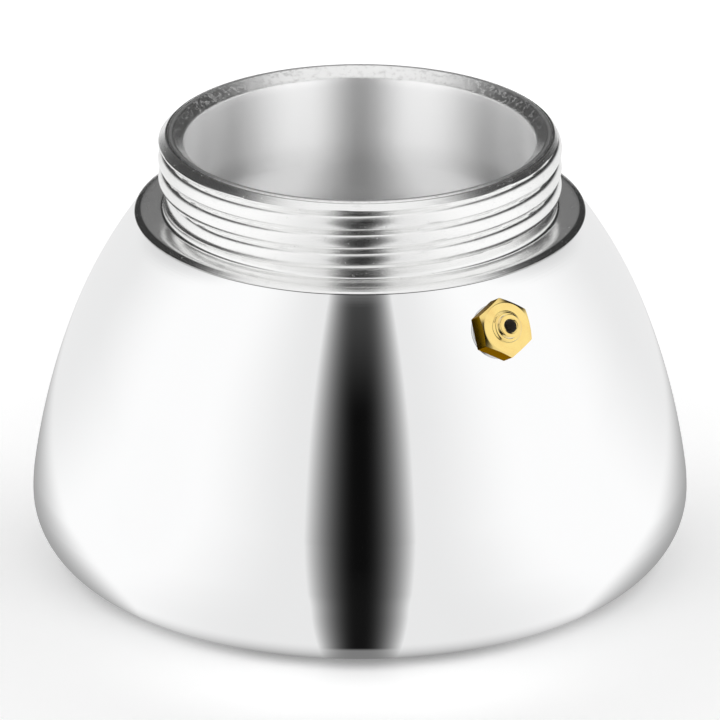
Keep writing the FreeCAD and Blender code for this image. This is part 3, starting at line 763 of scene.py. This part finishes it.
class BOILER_OT_valve_body(BoilerOperator):
    """Build the brass hexagon with its spigot, shank and stepped bore"""
    bl_idname = "boiler.valve_body"
    bl_label = "Valve body"

    def hexagon(self, valve):
        """Six-sided block with softened corners and a turned chamfer on its outer end."""
        corner = valve.hex_flats / (2 * math.cos(math.pi / 6))
        top = valve.gasket_top + valve.hex_height
        deselect()
        bpy.ops.mesh.primitive_cylinder_add(vertices=6, radius=corner, depth=valve.hex_height)
        block = bpy.context.object
        block.name = block.data.name = "valve_hexagon"
        turn = Matrix.Rotation(math.pi / 6 * self.turn_needed(block, corner), 4, "Z")
        block.matrix_world = Matrix.Translation((0, 0, (top + valve.gasket_top) / 2)) @ turn
        bpy.ops.object.transform_apply(location=True, rotation=True, scale=True)
        bpy.ops.object.mode_set(mode="EDIT")
        bpy.ops.mesh.select_all(action="DESELECT")
        bpy.ops.object.mode_set(mode="OBJECT")
        for edge in block.data.edges:
            ends = [block.data.vertices[index].co for index in edge.vertices]
            edge.select = abs(ends[0].z - ends[1].z) > valve.hex_height / 2
        bpy.ops.object.mode_set(mode="EDIT")
        bpy.ops.mesh.bevel(offset=0.16 * MM, segments=3, affect="EDGES")
        bpy.ops.object.mode_set(mode="OBJECT")
        edge = 0.1 * MM
        rise = math.tan(valve.hex_bevel)
        wide = corner + 1 * MM
        envelope = [(0, top), (valve.hex_face - 2 * edge, top), (valve.hex_face - edge, top - 0.01 * MM),
                    (valve.hex_face, top - 0.04 * MM),
                    (valve.hex_face + edge, top - 0.04 * MM - edge * rise * 0.8),
                    (wide, top - 0.04 * MM - (wide - valve.hex_face) * rise),
                    (wide, valve.gasket_top + (wide - corner) + 0.05 * MM),
                    (corner - 0.15 * MM, valve.gasket_top), (0, valve.gasket_top)]
        combine(block, turned("envelope", envelope, 192, closed=False), "INTERSECT")
        return block

    def turn_needed(self, block, corner):
        """Half steps that bring a corner of the block onto +X."""
        aligned = any(abs(vertex.co.y) < corner / 100 and vertex.co.x > 0 for vertex in block.data.vertices)
        return 0 if aligned else 1

    def build(self, shape, valve, look):
        body = self.hexagon(valve)
        shank = valve.shank_radius - valve.shank_play
        top = valve.gasket_top + valve.hex_height
        tip = top + valve.spigot_height
        cut = 0.4 * MM
        soft = 0.12 * MM
        core = [(0, -valve.shank_depth), (shank - cut, -valve.shank_depth), (shank, cut - valve.shank_depth),
                (shank, top - 1 * MM), (valve.spigot_foot - 0.3 * MM, top - 1 * MM),
                (valve.spigot_foot - 0.3 * MM, top - 0.05 * MM),
                (valve.spigot_foot + 0.3 * MM, top - 0.03 * MM)]
        round_top = bend((valve.spigot_tip - 0.1 * MM, tip - 0.36 * MM), 0.36 * MM, 5, 90, 8)
        core += bend((valve.spigot_foot + 0.28 * MM, top + 0.22 * MM), 0.22 * MM, 268, 190, 5)
        core += round_top + [(0, tip)]
        combine(body, turned("core", core, 128, closed=False), "UNION")
        hole = valve.stem_radius + valve.stem_play
        bore = [(0, -valve.shank_depth - cut), (valve.chamber_radius, -valve.shank_depth - cut),
                (valve.chamber_radius, valve.chamber_top), (hole, valve.chamber_top), (hole, tip - soft / 2),
                (hole + soft, tip + soft / 2), (hole + soft, tip + cut), (0, tip + cut)]
        combine(body, turned("bore", bore, 128, closed=False), "DIFFERENCE")
        dress(body, bright_brass(look), drawn_brass_painted_shade(look))
        # The hexagon's side faces take the darkened brass: painted shade on the flats.
        for face in body.data.polygons:
            on_side = abs(face.normal.z) < 0.35 and math.hypot(*face.center.xy) > shank + 0.5 * MM
            face.material_index = 1 if on_side else 0
        put(body, valve_matrix(valve.clocking))
        smooth(body, BRASS_ANGLE)
        body.visible_glossy = False
        stand_for(body, "valve_body", "boiler")


class BOILER_OT_stem(BoilerOperator):
    """Build the hollow stem with its steam bore, cross holes and notched collar"""
    bl_idname = "boiler.stem"
    bl_label = "Valve stem"

    def build(self, shape, valve, look):
        soft = 0.16 * MM
        tip = valve.stem_tip
        outline = [(0, valve.peg_end), (valve.peg_radius - soft / 2, valve.peg_end),
                   (valve.peg_radius, valve.peg_end + soft / 2), (valve.peg_radius, valve.collar_under),
                   (valve.collar_radius - soft / 2, valve.collar_under),
                   (valve.collar_radius, valve.collar_under + soft / 2),
                   (valve.collar_radius, valve.collar_top - soft / 2),
                   (valve.collar_radius - soft / 2, valve.collar_top), (valve.stem_waist, valve.collar_top),
                   (valve.stem_waist, valve.waist_top), (valve.stem_radius, valve.waist_top + 0.1 * MM),
                   (valve.stem_radius, tip - 2 * soft)]
        outline += bend((valve.stem_radius - soft, tip - soft), soft, 0, 90, 5)
        outline += bend((valve.stem_bore + 2 * soft, tip - 2 * soft), 2 * soft, 90, 180, 7)
        outline += [(valve.stem_bore, valve.stem_blind), (0, valve.stem_blind - valve.stem_bore / 2)]
        stem = turned("relief_stem", outline, 96, closed=False)
        reach = valve.stem_radius + 1 * MM
        for turn in range(2):
            across = Matrix.Rotation(math.pi / 2 * turn, 4, "Z") @ Matrix.Rotation(math.pi / 2, 4, "Y")
            place = Matrix.Translation((0, 0, valve.vent_height)) @ across
            combine(stem, rod("vent", valve.vent_radius, -reach, reach, place, sides=32), "DIFFERENCE")
        for turn in range(4):
            place = Matrix.Rotation(math.pi / 2 * turn, 4, "Z") @ Matrix.Translation(
                (valve.collar_radius + 0.1 * MM, 0, 0))
            notch = rod("notch", valve.notch_radius, valve.collar_under - 1 * MM, valve.collar_top + 1 * MM,
                        place, sides=32)
            combine(stem, notch, "DIFFERENCE")
        dress(stem, bright_brass(look), painted_shade_bore(look))
        # The faces inside the steam bore take the near-black painted shade.
        for face in stem.data.polygons:
            x, y, z = face.center
            inside = math.hypot(x, y) < valve.stem_bore + 0.05 * MM and valve.stem_blind < z < tip - soft
            face.material_index = 1 if inside else 0
        put(stem, valve_matrix(valve.clocking))
        smooth(stem, BRASS_ANGLE)
        stem.visible_glossy = False
        stand_for(stem, "valve_stem", "relief_stem")


class BOILER_OT_spring(BoilerOperator):
    """Build the valve's compression spring, wound at its resting length"""
    bl_idname = "boiler.spring"
    bl_label = "Valve spring"

    def build(self, shape, valve, look):
        gap = 0.02 * MM + valve.wire_radius
        foot = valve.collar_top + gap
        rise = valve.chamber_top - valve.collar_top - 2 * gap
        deselect()
        bpy.ops.mesh.primitive_circle_add(vertices=14, radius=valve.wire_radius, fill_type="NGON",
                                          rotation=(math.pi / 2, 0, 0),
                                          location=(valve.spring_radius, 0, foot))
        spring = bpy.context.object
        spring.name = spring.data.name = "relief_spring"
        bpy.ops.object.transform_apply(location=True, rotation=True, scale=True)
        self.wind(valve, rise)
        put(spring, valve_matrix(valve.clocking))
        smooth(spring)
        dress(spring, spring_wire(look))
        stand_for(spring, "valve_spring", "boiler")
        held = valve_base() + VALVE_AXIS * valve.chamber_top
        length = valve.chamber_top - valve.collar_top
        1 - VALVE_TRAVEL / length
        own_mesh(spring)

    def wind(self, valve, rise):
        """Sweep the wire's round section along the helix, turn by turn."""
        sections = 32
        count = round(valve.spring_turns * sections)
        bpy.ops.object.mode_set(mode="EDIT")
        bpy.ops.mesh.select_all(action="SELECT")
        for _ in range(count):
            bpy.ops.mesh.extrude_region_move(TRANSFORM_OT_translate={"value": (0, 0, rise / count)})
            bpy.ops.transform.rotate(value=-2 * math.pi / sections, orient_axis="Z",
                                     center_override=(0, 0, 0))
        bpy.ops.mesh.select_all(action="SELECT")
        bpy.ops.mesh.normals_make_consistent(inside=False)
        bpy.ops.object.mode_set(mode="OBJECT")


class BOILER_OT_inner_parts(BoilerOperator):
    """Give the seal and the seat bush, which stay as the CAD made them, their finishes"""
    bl_idname = "boiler.inner_parts"
    bl_label = "Seal and seat"

    def build(self, shape, valve, look):
        for node, material in (("stem_seal", pale_silicone(look)), ("valve_seat", bright_brass(look))):
            dress(frame["nodes"][node], material)


def studio_white():
    """Plain white table that also glows a little, least where the pot stands on it: the dimmed glow there is
    a painted contact shadow inside a wider painted soft shadow, and the glow is raised in front of and behind
    the pot as painted light.

    Distances from the pot's axis are in metres and bearings in degrees, here and in the lights below.
    """
    finish = Finish("table_white")
    x, y, z = finish.parts(finish.place())
    radius = (x * x + y * y) ** 0.5
    # Painted contact shadow: the glow drops to 0.3 where the pot's foot stands.
    painted_contact_shadow = finish.fade(radius, 0.0495, 0.0545, 0.3, 1)
    # Painted light: extra glow in front of the pot close to its foot, and more glow behind it.
    front = finish.fade(from_front(finish, x, y), 5, 50, 0.24, 0) * finish.fade(radius, 0.062, 0.08, 1, 0)
    behind = finish.fade(y, -0.02, 0.05, 0, 0.3)
    # Painted shade: a wide soft shadow round the pot, the glow rising from 0.5 near it to 0.8 further out.
    painted_floor_light_and_shade = finish.fade(radius, 0.068, 0.16, 0.5, 0.8) + front + behind
    return finish.surface(Base_Color=(0.92, 0.92, 0.92, 1), Roughness=0.95, Specular_IOR_Level=0.1,
                          Emission_Color=finish.grey(painted_floor_light_and_shade * painted_contact_shadow), Emission_Strength=0.6)


def softboxes(finish, bearing):
    """Brightness of the studio's white sides at a bearing from the front, in degrees."""
    return 0.82 + finish.fade(bearing, 20, 62, 0, 0.17) - finish.fade(bearing, 88, 132, 0, 0.16)


def front_gap(finish, bearing, width=19.0):
    """Share of the white sides that shows at a bearing: none at the dark gap in front."""
    return finish.maths("MINIMUM", bearing / width, 1.0) ** 3.2


def from_front(finish, x, y):
    """Bearing from the front either way, in degrees."""
    return finish.maths("ABSOLUTE", finish.maths("ARCTAN2", x, y * -1.0)) * math.degrees(1)


def tent_light(look):
    """Light of the studio tent: white sides and top, a dark gap in front and dimness behind."""
    finish = Finish("tent_light")
    x, y, z = finish.parts(finish.place())
    bearing = from_front(finish, x, y)
    rise = finish.maths("ARCTAN2", z, (x * x + y * y) ** 0.5) * math.degrees(1)
    gap = front_gap(finish, bearing)
    lifted = finish.fade(rise, 22, 52, 0.0, 0.05)
    front = gap * softboxes(finish, bearing) + (1 - gap) * (0.004 + lifted)
    back = finish.fade(bearing + 2 * rise, 150, 172)
    low = finish.fade(bearing, 158, 172) * finish.fade(rise, 14, 22) * 0.17
    strength = front * (1 - back) + back * (0.03 + low)
    strength = strength + finish.fade(rise, 48, 62) * (look.overhead - strength)
    return finish.lamp(strength * LIGHT_LEVEL)


def table_card_light():
    """What the jacket reflects of the table: a dark lane in front and shade close to the pot."""
    finish = Finish("table_card_light")
    x, y, z = finish.parts(finish.place())
    radius = (x * x + y * y) ** 0.5
    width = finish.fade(0.02 / radius, 0, 0.22, 19.0, 16.8)
    gap = front_gap(finish, from_front(finish, x, y + 0.0297), width)
    bearing = from_front(finish, x, y)
    start = 0.047 + finish.fade(bearing, 35, 130, 0, 0.017)
    end = finish.maths("MAXIMUM", bearing * 0.001 + 0.01, 0.0575)
    darkest = 0.2 + finish.fade(bearing, 15, 40, 0, 0.16)
    lit = finish.fade(radius, start, end, darkest, softboxes(finish, bearing))
    foot = finish.fade(radius, 0.0545, 0.056, 0.193, 0) + finish.fade(radius, 0.06, 0.4, 0.007, 0.004)
    strength = lit * gap + (1 - gap) * foot
    return finish.lamp(strength * LIGHT_LEVEL)


class BOILER_OT_stage(BoilerOperator):
    """Set up the table, the studio tent, its reflection card, the world and the camera"""
    bl_idname = "boiler.stage"
    bl_label = "Stage"

    def build(self, shape, valve, look):
        scene = bpy.context.scene
        scene.view_settings.view_transform = "Standard"
        deselect()
        bpy.ops.mesh.primitive_circle_add(vertices=128, radius=STUDIO_RADIUS, fill_type="NGON")
        table = bpy.context.object
        table.name = "stage_table"
        dress(table, studio_white())
        deselect()
        bpy.ops.mesh.primitive_uv_sphere_add(segments=96, ring_count=48, radius=STUDIO_RADIUS)
        tent = bpy.context.object
        tent.name = "stage_tent"
        dress(tent, tent_light(look))
        bpy.ops.object.shade_smooth()
        tent.visible_camera = False
        deselect()
        bpy.ops.mesh.primitive_circle_add(vertices=128, radius=STUDIO_RADIUS, fill_type="NGON")
        card = bpy.context.object
        card.name = "stage_table_card"
        for vertex in card.data.vertices:
            vertex.co.z = CARD_HEIGHT
        dress(card, table_card_light())
        for ray in ("camera", "diffuse", "shadow", "transmission"):
            setattr(card, "visible_" + ray, False)
        world = bpy.data.worlds.new("studio_white")
        world.use_nodes = True
        world.node_tree.nodes["Background"].inputs["Color"].default_value = (1, 1, 1, 1)
        scene.world = world
        lens = bpy.data.cameras.new("studio_camera")
        lens.lens = look.lens
        lens.clip_end = 10
        camera = bpy.data.objects.new("studio_camera", lens)
        scene.collection.objects.link(camera)
        back = Vector((0, -math.cos(look.elevation), math.sin(look.elevation)))
        camera.location = Vector((0, 0, look.aim)) + back * look.distance
        camera.rotation_euler = (math.pi / 2 - look.elevation, 0, 0)
        scene.camera = camera


OPERATORS = (BOILER_OT_jacket, BOILER_OT_vessel, BOILER_OT_washer, BOILER_OT_valve_body, BOILER_OT_stem,
             BOILER_OT_spring, BOILER_OT_inner_parts, BOILER_OT_stage)


class BOILER_PT_panel(bpy.types.Panel):
    """The boiler's pieces, sizes and finishes"""
    bl_idname = "BOILER_PT_panel"
    bl_label = "Moka Pot Boiler"
    bl_space_type = "VIEW_3D"
    bl_region_type = "UI"
    bl_category = "Boiler"

    def draw(self, context):
        layout = self.layout
        for operator in OPERATORS:
            layout.operator(operator.bl_idname)
        for group in (context.scene.boiler_shape, context.scene.boiler_valve, context.scene.boiler_look):
            box = layout.box()
            for name in group.__annotations__:
                box.prop(group, name)


GROUPS = {"boiler_shape": BoilerShape, "boiler_valve": ValveShape, "boiler_look": BoilerLook}
CLASSES = tuple(GROUPS.values()) + OPERATORS + (BOILER_PT_panel,)


def register():
    for item in CLASSES:
        bpy.utils.register_class(item)
    for name, group in GROUPS.items():
        setattr(bpy.types.Scene, name, bpy.props.PointerProperty(type=group))


def unregister():
    for name in GROUPS:
        delattr(bpy.types.Scene, name)
    for item in reversed(CLASSES):
        bpy.utils.unregister_class(item)


def main():
    register()
    for operator in OPERATORS:
        group, name = operator.bl_idname.split(".")
        getattr(getattr(bpy.ops, group), name)()


if __name__ == "__main__":
    main()
